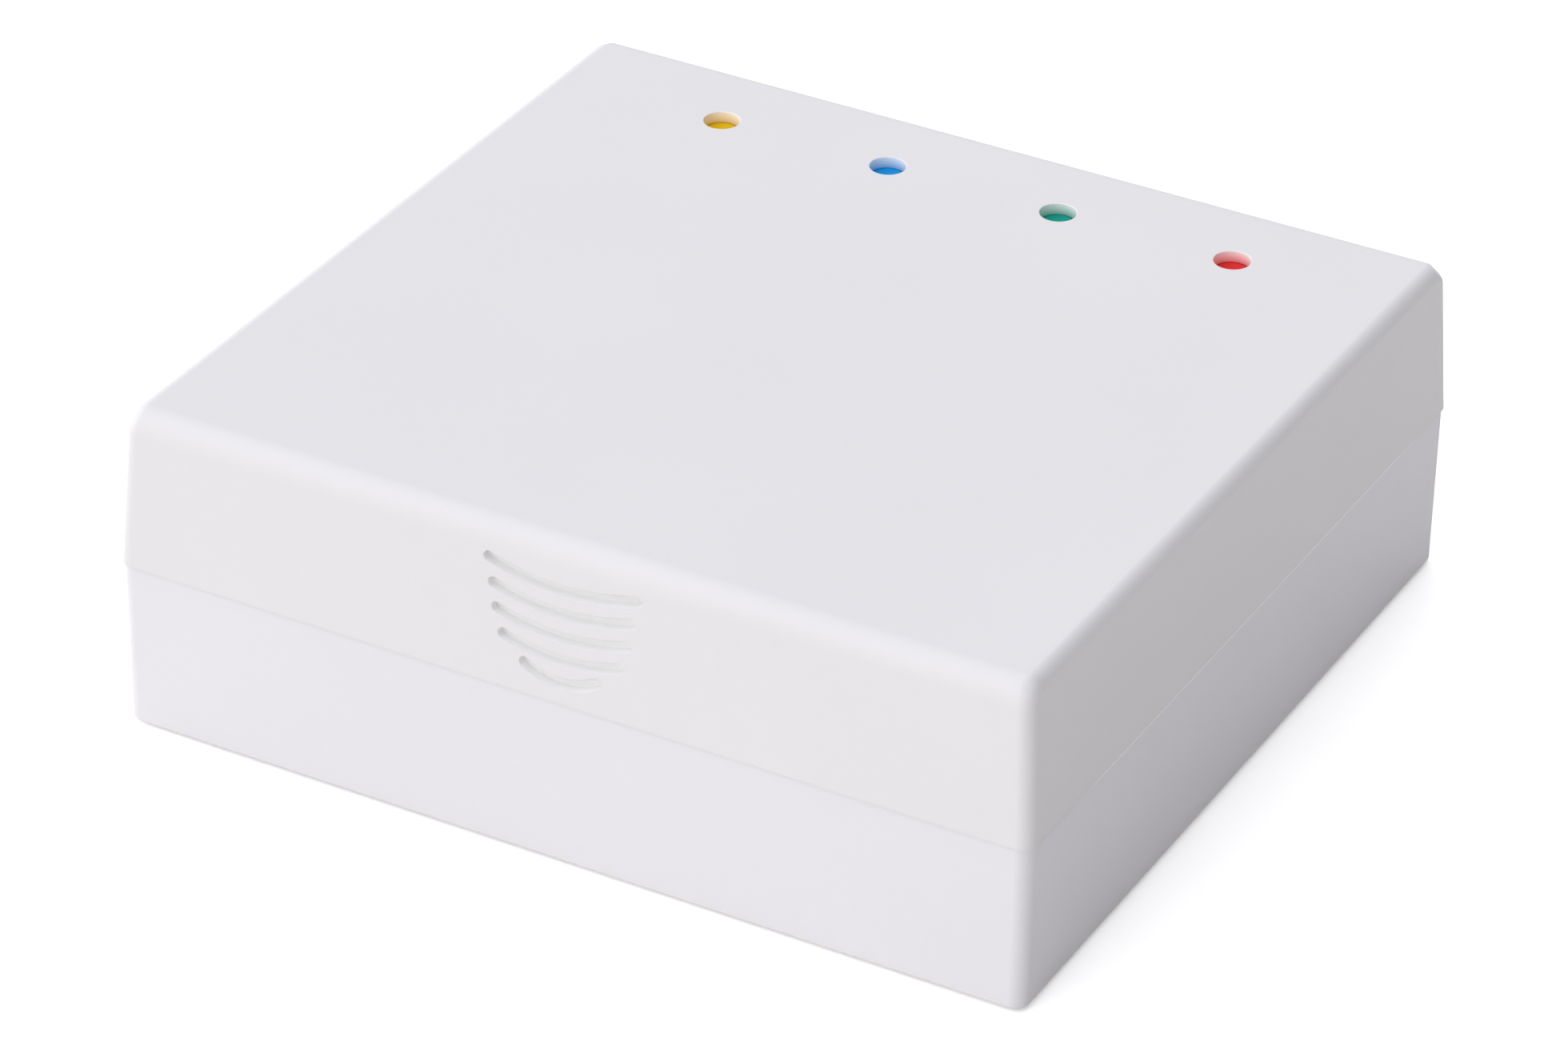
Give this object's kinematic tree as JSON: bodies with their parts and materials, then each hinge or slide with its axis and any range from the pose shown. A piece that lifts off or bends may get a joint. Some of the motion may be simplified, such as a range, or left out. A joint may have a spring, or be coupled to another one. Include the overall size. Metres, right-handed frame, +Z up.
{
  "type": "optical network terminal",
  "caption": "Square white two-part case of an optical network terminal with a row of indicator lenses, arc grooves, rear sockets, power button, reset and shuttered optical port.",
  "frame": {"origin": "centre of the object's footprint on the surface that its feet stand on", "axes": "+X along the front wall to the right, +Y from the grooved front wall to the socket wall at the back, +Z up"},
  "size_m": [0.12, 0.113, 0.0427],
  "materials": {
    "case_white": "fine satin moulded surface",
    "foot_rubber": "soft matte rubber",
    "screw_steel": "zinc plated",
    "lens_yellow": "translucent moulded lens",
    "lens_blue": "translucent moulded lens",
    "lens_green": "translucent moulded lens",
    "lens_red": "translucent moulded lens",
    "board_laminate": "solder-resist coated glass laminate",
    "lamp_body": "white package with a clear window",
    "socket_black": "moulded black plastic",
    "socket_green": "moulded green plastic",
    "shell_tin": "bright tin plate",
    "contact_gold": "gold plated",
    "optic_steel": "turned stainless steel",
    "optic_ceramic": "polished zirconia",
    "chip_black": "moulded epoxy",
    "pad_grey": "soft silicone",
    "sink_aluminium": "extruded, natural",
    "can_aluminium": "bright drawn can",
    "sleeve_navy": "shrunk film sleeve",
    "core_ferrite": "sintered ferrite",
    "plunger_ivory": "moulded ivory plastic"
  },
  "bodies": {
    "root": {"top_cover": "case_white", "base_shell": "case_white", "rubber_feet": "foot_rubber", "case_screws": "screw_steel", "light_pipe_yellow": "lens_yellow", "light_pipe_blue": "lens_blue", "light_pipe_green": "lens_green", "light_pipe_red": "lens_red", "main_board": "board_laminate", "board_screws": "screw_steel", "status_leds": "lamp_body", "lan_jack_housing": "socket_black", "lan_jack_shield": "shell_tin", "lan_jack_contacts": "contact_gold", "lan_transformer": "chip_black", "optical_adapter": "socket_green", "shutter_pin": "screw_steel", "ferrule_receptacle": "optic_steel", "ceramic_sleeve": "optic_ceramic", "transceiver_block": "optic_steel", "laser_can": "contact_gold", "photodiode_can": "contact_gold", "dc_jack_body": "socket_black", "dc_jack_pin": "shell_tin", "dc_jack_spring": "contact_gold", "power_switch": "socket_black", "reset_switch": "socket_black", "network_processor": "chip_black", "thermal_pad": "pad_grey", "heat_sink": "sink_aluminium", "memory_chip": "chip_black", "flash_chip": "chip_black", "smoothing_capacitors": "can_aluminium", "backup_capacitor": "sleeve_navy", "power_inductors": "core_ferrite", "crystal": "shell_tin"},
    "power_button": {"power_button": "socket_black"},
    "reset_plunger": {"reset_plunger": "plunger_ivory"},
    "optical_shutter": {"optical_shutter": "socket_black"}
  },
  "joints": [
    {"name": "power_button_press", "type": "slide", "parent": "root", "child": "power_button", "axis": [0, -1, 0], "range_m": [0, 0.0015], "stiffness_N_per_m": 900, "springref_m": -0.001},
    {"name": "reset_press", "type": "slide", "parent": "root", "child": "reset_plunger", "axis": [0, -1, 0], "range_m": [0, 0.0004], "stiffness_N_per_m": 500, "springref_m": -0.001},
    {"name": "shutter_swing", "type": "hinge", "parent": "root", "child": "optical_shutter", "pos_m": [0.001, 0.0504, 0.00852], "axis": [1, 0, 0], "range_deg": [0, 90], "stiffness_Nm_per_rad": 0.0006, "springref_deg": -17.19}
  ]
}
